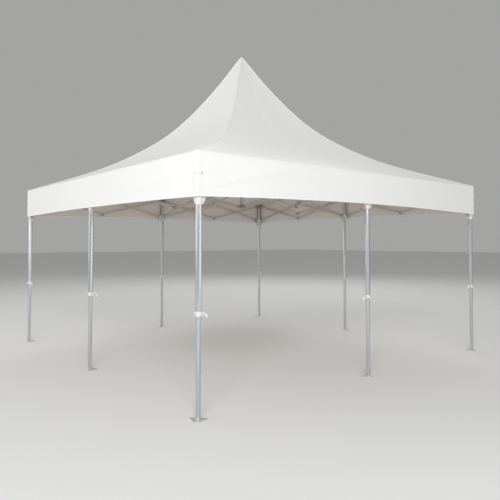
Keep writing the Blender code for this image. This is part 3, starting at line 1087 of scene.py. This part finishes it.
            foot = join(f"foot_plate_{site.name}", [carry(plate, here @ foot_turn, "foot_copy"),
                                                    carry(weld, here, "weld_copy")])
            hang(foot, body_name, "leg_aluminium")
            hang(carry(inner, here, f"inner_tube_{site.name}"), body_name, "leg_aluminium", body_name)
        discard(outer, inner, weld, plate, collar, screws, lever,
                *(piece for pair in brackets.values() for piece in pair))


@dataclass
class ScissorTruss:
    """Two crossed pairs of bars between forks, with moulded joints and bolts, along +X from a leg."""

    palette: Palette
    far_pin_out: float
    far_heights: Point2
    sleeve: float = 0.034

    def __post_init__(self) -> None:
        """Work out the places of the pins."""
        middle = LEG_LINE / 2
        far = LEG_LINE - self.far_pin_out
        self.hubs = ((middle, UPPER_PIN_Z), (middle, LOWER_PIN_Z))
        self.near = ((PIN_OUT, UPPER_PIN_Z), (PIN_OUT, LOWER_PIN_Z))
        self.far = ((far, self.far_heights[0]), (far, self.far_heights[1]))

    def runs(self) -> list[tuple[Point2, Point2, float]]:
        """Start, end and side offset of each bar.

        Returns:
            Four bars.
        """
        (hub_high, hub_low), (near_high, near_low), (far_high, far_low) = self.hubs, self.near, self.far
        return [(near_high, hub_low, PLANE_OFFSET), (hub_low, far_high, PLANE_OFFSET),
                (near_low, hub_high, -PLANE_OFFSET), (hub_high, far_low, -PLANE_OFFSET)]

    @staticmethod
    def along(start: Point2, end: Point2, offset: float) -> tuple[Matrix, float]:
        """Matrix that lays +X from start to end, and the distance between them.

        Args:
            start: distance and height of the first pin.
            end: distance and height of the second pin.
            offset: side offset of the bar.

        Returns:
            The matrix and the length.
        """
        run, rise = end[0] - start[0], end[1] - start[1]
        tilt = Matrix.Rotation(-math.atan2(rise, run), 4, "Y")
        return Matrix.Translation((start[0], offset, start[1])) @ tilt, math.hypot(run, rise)

    def bars(self) -> bpy.types.Object:
        """The four bars as rounded rectangular tubes.

        Returns:
            The bars as one piece.
        """
        made = []
        for start, end, offset in self.runs():
            place, length = self.along(start, end, offset)
            shape = block("bar", (0.016, -BAR_THICK / 2, -BAR_HIGH / 2),
                          (length - 0.016, BAR_THICK / 2, BAR_HIGH / 2))
            with editing(shape):
                pick_edges(shape, lambda middle, run: abs(run.x) > 0.9)
                bpy.ops.mesh.bevel(offset=0.0030, segments=3)
            dress(shape, self.palette.bar, swap="YZX")
            shape.data.transform(place)
            made.append(shape)
        return join("bars", made)

    def knuckle(self, start: Point2, end: Point2, offset: float) -> bpy.types.Object:
        """Moulded bar end at start: a round eye in the fork and a sleeve over the bar.

        Args:
            start: the pin's distance and height.
            end: the bar's other pin.
            offset: side offset of the bar.

        Returns:
            The knuckle, in place.
        """
        place, _ = self.along(start, end, offset)
        eye = soften(crosswise(drum("eye", 24, END_RADIUS, -END_LENGTH / 2, END_LENGTH / 2), (0, -offset, 0)),
                     0.0012)
        sleeve = block("sleeve", (0.0, -BAR_THICK / 2 - 0.0014, -BAR_HIGH / 2 - 0.0014),
                       (self.sleeve, BAR_THICK / 2 + 0.0014, BAR_HIGH / 2 + 0.0014))
        with editing(sleeve):
            pick_edges(sleeve, lambda middle, run: abs(run.x) > 0.9)
            bpy.ops.mesh.bevel(offset=0.0038, segments=3)
        fuse(eye, [soften(sleeve, 0.0008)])
        eye.data.transform(place)
        return eye

    def hub(self, centre: Point2) -> bpy.types.Object:
        """Moulded joint where two bars meet in the middle of a bay.

        Args:
            centre: its distance and height.

        Returns:
            The hub, in place.
        """
        body = block("hub", (-0.023, -0.018, -0.022), (0.023, 0.018, 0.022))
        with editing(body):
            pick_edges(body, lambda middle, run: abs(run.y) > 0.9)
            bpy.ops.mesh.bevel(offset=0.011, segments=5)
        soften(body, 0.0018)
        body.data.transform(Matrix.Translation((centre[0], 0, centre[1])))
        return body

    def crossing(self, first: tuple[Point2, Point2, float], second: tuple[Point2, Point2, float]) -> Point2:
        """Where two bars cross.

        Args:
            first: one run.
            second: the other run.

        Returns:
            Distance and height of the crossing.
        """
        (ax, az), (bx, bz), _ = first
        (cx, cz), (dx, dz), _ = second
        slope_one, slope_two = (bz - az) / (bx - ax), (dz - cz) / (dx - cx)
        x = (cz - az + slope_one * ax - slope_two * cx) / (slope_one - slope_two)
        return x, az + slope_one * (x - ax)

    def joints(self) -> bpy.types.Object:
        """Knuckles and hubs.

        Returns:
            The moulded joints as one piece.
        """
        high_first, high_last, low_first, low_last = self.runs()
        made = [self.knuckle(high_first[0], high_first[1], high_first[2]),
                self.knuckle(high_last[1], high_last[0], high_last[2]),
                self.knuckle(low_first[0], low_first[1], low_first[2]),
                self.knuckle(low_last[1], low_last[0], low_last[2])]
        made += [self.hub(centre) for centre in self.hubs]
        return dress(join("joints", made), self.palette.joint)

    def rivets(self) -> bpy.types.Object:
        """Bolts at the crossings and through the hubs.

        Returns:
            The bolts as one piece.
        """
        high_first, high_last, low_first, low_last = self.runs()
        places = [(self.crossing(high_first, low_first), 4 * PLANE_OFFSET),
                  (self.crossing(high_last, low_last), 4 * PLANE_OFFSET)]
        places += [((x + shift, z), 0.036) for x, z in self.hubs for shift in (-0.011, 0.011)]
        made = []
        for (x, z), length in places:
            pin = bolt(length, 0.0040)
            pin.data.transform(Matrix.Translation((x, 0, z)))
            made.append(pin)
        return dress(join("rivets", made), self.palette.steel)

    def build(self, places: dict[str, Matrix]) -> None:
        """Model the truss once and copy it to its places.

        Args:
            places: where it starts and the way it runs, by the name of the CAD node that it replaces.
        """
        bars, joints, rivets = self.bars(), self.joints(), self.rivets()
        for node, place in places.items():
            hang(carry(bars, place, f"{node}_bars"), "root", "truss_aluminium", node)
            hang(carry(joints, place, f"{node}_joints"), "root", "bracket_plastic")
            hang(carry(rivets, place, f"{node}_rivets"), "root", "truss_aluminium")
        discard(bars, joints, rivets)


@dataclass
class CentreMast:
    """Tube that lifts the peak, with two hubs for the inner trusses."""

    palette: Palette
    across: float = 0.048
    low: float = 2.150
    head_across: float = 0.056

    def build(self) -> None:
        """Model the mast and its hubs."""
        top = Cover.peak_underside()
        tube = octagon("mast_tube", self.across, self.low, top - 0.012, fill="NOTHING")
        with editing(tube):
            pick_edges(tube, lambda middle, run: abs(run.z) > 0.9)
            bpy.ops.mesh.bevel(offset=0.0025, segments=3)
        apply_modifier(tube, "SOLIDIFY", thickness=TUBE_WALL, offset=-1.0, use_even_offset=True)
        hang(dress(tube, self.palette.tube), "root", "leg_aluminium", "centre_mast")
        cap = soften(octagon("mast_head", self.head_across, top - 0.018, top), 0.004, 3)
        plug = soften(octagon("mast_plug", self.across - 0.001, self.low - 0.004, self.low + 0.006), 0.002)
        ends = dress(join("mast_caps", [cap, plug]), self.palette.joint)
        hang(ends, "root", "bracket_plastic")
        for level, pin_z, low, high, web in (("upper", MAST_UPPER_PIN_Z, -0.030, 0.020, -0.014),
                                             ("lower", MAST_LOWER_PIN_Z, -0.020, 0.030, -0.014)):
            hub = ForkedBracket(0.062, self.across + 2 * GAP, pin_z + low, pin_z + high, pin_z, MAST_PIN_OUT,
                                pin_z + web, dark=True)
            body, pins = hub.build_pair(f"mast_{level}_joint", MAST_FORKS, self.palette)
            hang(body, "root", "bracket_plastic", f"mast_{level}_hub")
            hang(pins, "root", "bracket_plastic")


# Cover


@dataclass(frozen=True)
class Crease:
    """Soft fold across one side of the valance, from one point to another."""

    side: Side
    start: Point2
    end: Point2
    depth: float
    width: float

    def push(self, run: float, z: float) -> float:
        """How far the cloth moves outwards at a place.

        Args:
            run: distance along the side from its middle.
            z: height.

        Returns:
            The push in metres.
        """
        ax, az = self.start
        bx, bz = self.end
        length = math.hypot(bx - ax, bz - az)
        along = ((run - ax) * (bx - ax) + (z - az) * (bz - az)) / length
        away = ((z - az) * (bx - ax) - (run - ax) * (bz - az)) / length
        share = along / length
        fade = (1.0 - (2 * share - 1) ** 4) ** 2 if 0 < share < 1 else 0.0
        return self.depth * fade * math.exp(-((away / self.width) ** 2))


@dataclass
class Cover:
    """Sewn cover: peaked roof in four panels and a deep valance, with welts, hems and rings."""

    palette: Palette
    cloth: float = 0.0012
    columns: int = 44
    rows: int = 56
    side_columns: int = 150
    side_rows: int = 16
    bows: tuple[tuple[Side, float], ...] = ((Side.FRONT, 0.045), (Side.RIGHT, 0.030), (Side.BACK, 0.024),
                                            (Side.LEFT, 0.022))
    peak_lift: float = 0.044
    welt: float = 0.0035
    creases: tuple[Crease, ...] = (
        Crease(Side.FRONT, (-2.46, 2.105), (-1.15, 2.440), 0.007, 0.020),
        Crease(Side.FRONT, (-2.48, 2.075), (-1.80, 2.210), -0.005, 0.018),
        Crease(Side.FRONT, (1.16, 2.420), (1.40, 2.170), 0.005, 0.016),
        Crease(Side.FRONT, (-2.30, 2.300), (-0.60, 2.340), 0.004, 0.030),
        Crease(Side.LEFT, (1.10, 2.240), (2.44, 2.275), 0.005, 0.026),
        Crease(Side.LEFT, (0.20, 2.180), (2.40, 2.120), -0.004, 0.024),
    )

    @staticmethod
    def rise(distance: float) -> float:
        """Height of a hip above the eave, smooth through its points.

        Args:
            distance: distance from the axis along the diagonal.

        Returns:
            The height.
        """
        places = [place for place, _ in HIP_POINTS]
        rises = [height for _, height in HIP_POINTS]
        last = len(places) - 1
        slopes = []
        for index in range(last + 1):
            before, after = max(index - 1, 0), min(index + 1, last)
            slopes.append((rises[after] - rises[before]) / (places[after] - places[before]))
        index = max(i for i in range(last) if distance >= places[i] or i == 0)
        span = places[index + 1] - places[index]
        t = (distance - places[index]) / span
        near = (2 * t**3 - 3 * t**2 + 1) * rises[index] + (t**3 - 2 * t**2 + t) * span * slopes[index]
        far = (3 * t**2 - 2 * t**3) * rises[index + 1] + (t**3 - t**2) * span * slopes[index + 1]
        return near + far

    @classmethod
    def height(cls, x: float, y: float) -> float:
        """Outer surface of the roof, a little slimmer at the peak than the part's own solids."""
        level = max(abs(x), abs(y))
        across = min(abs(x), abs(y)) / level if level > 0 else 1.0
        share = max(level - PEAK_HALF, 0.0) / (HALF - PEAK_HALF)
        slack = PANEL_SAG * 4 * share * (1 - share) * (1 - across**2)
        ease = PEAK_EASE * math.exp(-((level / 0.30) ** 2))
        return EAVE_Z + cls.rise(max(level, PEAK_HALF) * math.sqrt(2)) - slack - ease

    @classmethod
    def underside(cls, half_width: float) -> float:
        """Lowest height of the roof's solid over a square footprint on a leg's axis."""
        places = [LEG_LINE - half_width, min(LEG_LINE + half_width, HALF)]
        return min(cls.height(x, y) for x in places for y in places) - 0.0033

    @classmethod
    def peak_underside(cls) -> float:
        """Height of the mast's head under the peak."""
        return cls.height(0, 0) - 0.0033

    def folds(self, across: float, share: float) -> float:
        """Fine tension folds of a roof panel, none at its edges.

        Args:
            across: -1 to 1 between the panel's hips.
            share: 0 at the peak, 1 at the eave.

        Returns:
            The change of height.
        """
        edge = (1 - across**2) * math.sin(math.pi * min(max(share, 0.0), 1.0))
        fan = math.sin(9.0 * across + 0.8) * 0.0045 + math.sin(17.0 * across + 5.0 * share) * 0.0016
        swell = math.sin(5.2 * share + 2.2 * across) * 0.003
        return edge * (fan + swell)

    def roof(self) -> bpy.types.Object:
        """The four panels sewn into one sheet.

        Returns:
            The roof cloth.
        """
        bpy.ops.object.select_all(action="DESELECT")
        bpy.ops.mesh.primitive_grid_add(x_subdivisions=self.columns, y_subdivisions=self.rows, size=2.0)
        panel = settle("roof_cover")
        values = []
        for vert in panel.data.vertices:
            across = vert.co.x
            level = HALF * ((1 - vert.co.y) / 2) ** 1.25
            x = across * level
            share = level / HALF
            z = self.height(x, level) + self.folds(across, share)
            z += self.peak_lift * max(0.0, 1 - level / PEAK_HALF)
            vert.co = (x, -level, z)
            values.append((x, z - EAVE_Z + level, (level - abs(x)) / math.sqrt(2)))
        lay_cloth(panel, values)
        panels = [panel] + [carry(panel, side.turn, f"panel_{side.name.lower()}")
                            for side in (Side.RIGHT, Side.BACK, Side.LEFT)]
        roof = join("roof_cover", panels)
        with editing(roof, Pick.VERTS):
            bpy.ops.mesh.select_all(action="SELECT")
            bpy.ops.mesh.remove_doubles(threshold=0.00005)
            bpy.ops.mesh.normals_make_consistent(inside=False)
        self.stiffen(roof, self.palette.roof)
        return roof

    def stiffen(self, sheet: bpy.types.Object, outer: bpy.types.Material) -> None:
        """Give a sheet its outside cloth, its inside face in the cloth with painted shade, and its thickness.

        Args:
            sheet: the open sheet, facing outwards.
            outer: its outside material.
        """
        sheet.data.materials.clear()
        sheet.data.materials.append(outer)
        sheet.data.materials.append(self.palette.inside)
        apply_modifier(sheet, "SOLIDIFY", thickness=self.cloth, offset=-1.0, use_even_offset=True,
                       material_offset=1)
        take(sheet)
        bpy.ops.object.shade_smooth_by_angle(angle=math.radians(24))

    def ripple(self, side: Side, run: float, z: float, drop: float) -> float:
        """How far the valance stands out from its plane.

        Args:
            side: which side of the tent.
            run: distance along the side from its middle.
            z: height.
            drop: 0 at the eave, 1 at the hem.

        Returns:
            The push outwards.
        """
        ends = 1 - abs(run / HALF) ** 6
        phase = 1.3 * side.value
        swing = math.sin(run * 2.6 + phase) * 0.0045 + math.sin(run * 6.1 + 2 * phase) * 0.0020
        belly = math.sin(math.pi * drop) * math.sin(run * 1.7 + phase + 0.6) * 0.0035
        push = ends * (drop**1.5 * swing + belly + 0.004 * drop)
        return push + sum(crease.push(run, z) for crease in self.creases if crease.side is side)

    def valance(self) -> bpy.types.Object:
        """Band of cloth round the four sides, its hem bowed up between the corners.

        Returns:
            The valance cloth.
        """
        top = EAVE_Z - 0.0008
        sides = []
        for side, bow in self.bows:
            bpy.ops.object.select_all(action="DESELECT")
            bpy.ops.mesh.primitive_grid_add(x_subdivisions=self.side_columns, y_subdivisions=self.side_rows,
                                            size=2.0)
            band = settle(f"band_{side.name.lower()}")
            values = []
            for vert in band.data.vertices:
                run = vert.co.x * HALF
                drop = (1 - vert.co.y) / 2
                bottom = VALANCE_BOTTOM_Z + bow * (1 - vert.co.x**2)
                z = top + (bottom - top) * drop
                ends = 1 - abs(vert.co.x) ** 24
                push = self.ripple(side, run, z, drop) * ends
                vert.co = (run, -HALF - push, z)
                values.append((run, z, min(z - bottom, top - z + 0.012)))
            lay_cloth(band, values)
            band.data.transform(side.turn)
            sides.append(band)
        made = join("valance_band", sides)
        with editing(made, Pick.VERTS):
            bpy.ops.mesh.select_all(action="SELECT")
            bpy.ops.mesh.remove_doubles(threshold=0.00005)
            bpy.ops.mesh.normals_make_consistent(inside=False)
        self.stiffen(made, self.palette.valance)
        return made

    def cord(self, name: str, points: Sequence[Vector], radius: float, closed: bool) -> bpy.types.Object:
        """Round welt along a line of points.

        Args:
            name: the piece's name.
            points: the line.
            radius: the welt's radius.
            closed: whether its ends meet.

        Returns:
            The welt as a mesh.
        """
        line = bpy.data.curves.new(name, "CURVE")
        line.dimensions = "3D"
        line.bevel_depth = radius
        line.bevel_resolution = 3
        line.use_fill_caps = not closed
        spline = line.splines.new("POLY")
        spline.points.add(len(points) - 1)
        for target, point in zip(spline.points, points):
            target.co = (*point, 1.0)
        spline.use_cyclic_u = closed
        made = bpy.data.objects.new(name, line)
        bpy.context.scene.collection.objects.link(made)
        take(made)
        bpy.ops.object.convert(target="MESH")
        made = bpy.context.object
        close_up(made)
        self.trace(made)
        return made

    def trace(self, piece: bpy.types.Object) -> None:
        """Give a trim the cloth attribute from its own place, and its webbing."""
        lay_cloth(piece, [(vert.co.x + vert.co.y, vert.co.z, 0.05) for vert in piece.data.vertices])
        piece.data.materials.clear()
        piece.data.materials.append(self.palette.trim)
        take(piece)
        bpy.ops.object.shade_smooth_by_angle(angle=math.radians(50))

    def hip_welts(self) -> bpy.types.Object:
        """Piping along the four hips, from the corners to the peak.

        Returns:
            The piping as one piece.
        """
        made = []
        for east, north in ((-1, -1), (1, -1), (1, 1), (-1, 1)):
            points = []
            for step in range(49):
                level = HALF * (step / 48) ** 1.25
                lift = self.peak_lift * max(0.0, 1 - level / PEAK_HALF)
                points.append(Vector((east * level, north * level, self.height(level, level) + lift)))
            made.append(self.cord("hip_piece", points, self.welt, False))
        return join("hip_piping", made)

    def eave_welt(self) -> bpy.types.Object:
        """Piping in the seam between roof and valance."""
        corners = [(-1, -1), (1, -1), (1, 1), (-1, 1)]
        points = [Vector((x * HALF, y * HALF, EAVE_Z - 0.001)) for x, y in corners]
        return self.cord("eave_piping", points, self.welt * 0.8, True)

    def hem(self) -> bpy.types.Object:
        """Doubled strip along the bottom of the valance, inside and outside of the cloth.

        Returns:
            The hem as one piece.
        """
        deep = 0.022
        strips = []
        for side, bow in self.bows:
            bpy.ops.object.select_all(action="DESELECT")
            bpy.ops.mesh.primitive_grid_add(x_subdivisions=self.side_columns, y_subdivisions=2, size=2.0)
            strip = settle("hem_piece")
            for vert in strip.data.vertices:
                run = vert.co.x * HALF
                bottom = VALANCE_BOTTOM_Z + bow * (1 - vert.co.x**2)
                drop = (1 - vert.co.y) / 2
                z = bottom - 0.0006 + deep * (1 - drop)
                top = EAVE_Z - 0.0008
                share = (top - z) / (top - bottom)
                push = self.ripple(side, run, z, share) * (1 - abs(vert.co.x) ** 24)
                vert.co = (run + 0.0012 * vert.co.x, -HALF - push - 0.0012, z)
            strip.data.transform(side.turn)
            strips.append(strip)
        made = join("valance_hem", strips)
        with editing(made, Pick.VERTS):
            bpy.ops.mesh.select_all(action="SELECT")
            bpy.ops.mesh.remove_doubles(threshold=0.00005)
            bpy.ops.mesh.normals_make_consistent(inside=False)
        apply_modifier(made, "SOLIDIFY", thickness=self.cloth + 0.0024, offset=-1.0, use_even_offset=True)
        self.trace(made)
        return made

    def corner_bands(self) -> bpy.types.Object:
        """Reinforcing strips down each side of the four corner seams.

        Returns:
            The strips as one piece.
        """
        made = []
        for side in Side:
            wide = 0.028 if side in (Side.FRONT, Side.BACK) else 0.070
            for sign in (-1, 1):
                near, far = sign * (HALF - 0.001), sign * (HALF - wide)
                strip = block("corner_piece", (min(near, far), -HALF - 0.0016, VALANCE_BOTTOM_Z + 0.024),
                              (max(near, far), -HALF - 0.0002, EAVE_Z - 0.004))
                soften(strip, 0.0005)
                strip.data.transform(side.turn)
                made.append(strip)
        bands = join("corner_bands", made)
        self.trace(bands)
        return bands

    def rings(self) -> bpy.types.Object:
        """Metal eyelets beside each corner seam.

        Returns:
            The eyelets as one piece.
        """
        made = []
        for side in Side:
            for sign, away in ((-1, 0.048), (1, 0.048)):
                ring = drum("ring", 24, 0.0105, -0.0018, 0.0018)
                fuse(ring, [drum("ring_hole", 20, 0.0055, -0.01, 0.01)], "DIFFERENCE")
                soften(ring, 0.0010)
                crosswise(ring, (sign * (HALF - away), -HALF - 0.0022, 2.250))
                ring.data.transform(side.turn)
                made.append(ring)
        return dress(join("eyelets", made), self.palette.steel)

    def build(self) -> None:
        """Sew the cover and hang each sheet and trim on its body."""
        roof = self.roof()
        hang(roof, "root", "roof_fabric", "roof_panel_front", "roof_panel_right", "roof_panel_back",
             "roof_panel_left")
        valance = self.valance()
        hang(valance, "root", "valance_fabric", "valance")
        piping = self.hip_welts()
        eave = self.eave_welt()
        hem = self.hem()
        bands = self.corner_bands()
        rings = self.rings()
        hang(piping, "root", "roof_fabric")
        for piece in (eave, hem, bands, rings):
            hang(piece, "root", "valance_fabric")


# Studio


@dataclass(frozen=True)
class SoftBox:
    """One large area light."""

    name: str
    place: Colour
    target: Colour
    size: Point2
    power: float

    def build(self) -> None:
        """Add the light, turned to its target."""
        lamp = bpy.data.lights.new(self.name, "AREA")
        lamp.shape = "RECTANGLE"
        lamp.size, lamp.size_y = self.size
        lamp.energy = self.power
        made = bpy.data.objects.new(self.name, lamp)
        made.location = self.place
        made.rotation_euler = (Vector(self.target) - Vector(self.place)).to_track_quat("-Z", "Y").to_euler()
        bpy.context.scene.collection.objects.link(made)


@dataclass(frozen=True)
class Studio:
    """Pale floor, soft light and the photograph's camera."""

    camera_place: Colour = (-5.2044, -6.5431, 1.610)
    yaw: float = 50.577
    pitch: float = 1.906
    lens: float = 38.22
    shift_y: float = -0.0503
    sky: Colour = (0.82, 0.82, 0.81)
    sky_power: float = 0.45
    boxes: tuple[SoftBox, ...] = (
        SoftBox("key_light", (-8.8, -10.4, 7.0), (0, 0, 2.0), (6.0, 6.0), 1150.0),
        SoftBox("left_light", (-13.0, 1.5, 3.6), (-1, 0, 1.7), (7.0, 5.0), 215.0),
        SoftBox("right_light", (2.5, -12.0, 1.75), (0, -1, 1.7), (6.0, 3.2), 75.0),
        SoftBox("rear_light", (-8.8, 9.2, 3.4), (-1, 0, 1.7), (8.0, 5.0), 120.0),
        SoftBox("top_light", (-7.0, 2.0, 10.0), (-1, 0, 3.0), (6.0, 6.0), 70.0),
        SoftBox("back_light", (8.5, 8.0, 11.0), (0, 0, 1.5), (8.0, 8.0), 600.0),
    )

    def build(self) -> None:
        """Set up the floor, the light and the camera."""
        bpy.ops.object.select_all(action="DESELECT")
        bpy.ops.mesh.primitive_plane_add(size=160.0, location=(0, 0, -0.0005))
        floor = settle("studio_floor")
        floor.data.materials.append(StudioFloor("pale_floor", (0.78, 0.78, 0.77)).material())
        world = bpy.data.worlds.new("studio_sky")
        world.use_nodes = True
        backdrop = world.node_tree.nodes["Background"]
        backdrop.inputs["Color"].default_value = (*self.sky, 1.0)
        backdrop.inputs["Strength"].default_value = self.sky_power
        bpy.context.scene.world = world
        for box in self.boxes:
            box.build()
        lens = bpy.data.cameras.new("photo_camera")
        lens.lens = self.lens
        lens.sensor_width = 36.0
        lens.shift_y = self.shift_y
        camera = bpy.data.objects.new("photo_camera", lens)
        camera.location = self.camera_place
        camera.rotation_euler = (math.radians(90 + self.pitch), 0, math.radians(self.yaw - 90))
        bpy.context.scene.collection.objects.link(camera)
        bpy.context.scene.camera = camera
        bpy.context.scene.view_settings.view_transform = "Standard"


def build_trusses(palette: Palette) -> None:
    """Model the eight side trusses and the four inner ones.

    Args:
        palette: the tent's materials.
    """
    outer = {f"side_truss_{site.name}_to_{SITES[(index + 1) % len(SITES)].name}": site.to_ground @ site.side.turn
             for index, site in enumerate(SITES)}
    ScissorTruss(palette, PIN_OUT, (UPPER_PIN_Z, LOWER_PIN_Z)).build(outer)
    inner = {f"inner_truss_{site.name}": site.to_ground @ heading_matrix((-site.place[0], -site.place[1]))
             for site in SITES if not site.is_corner}
    ScissorTruss(palette, MAST_PIN_OUT, (MAST_UPPER_PIN_Z, MAST_LOWER_PIN_Z)).build(inner)


def main() -> None:
    """Build the studio and the tent."""
    logging.basicConfig(level=logging.INFO, format="%(message)s")
    Studio().build()
    palette = Palette.mix()
    Cover(palette).build()
    TelescopicLegs(palette).build()
    build_trusses(palette)
    CentreMast(palette).build()


if __name__ == "__main__":
    main()
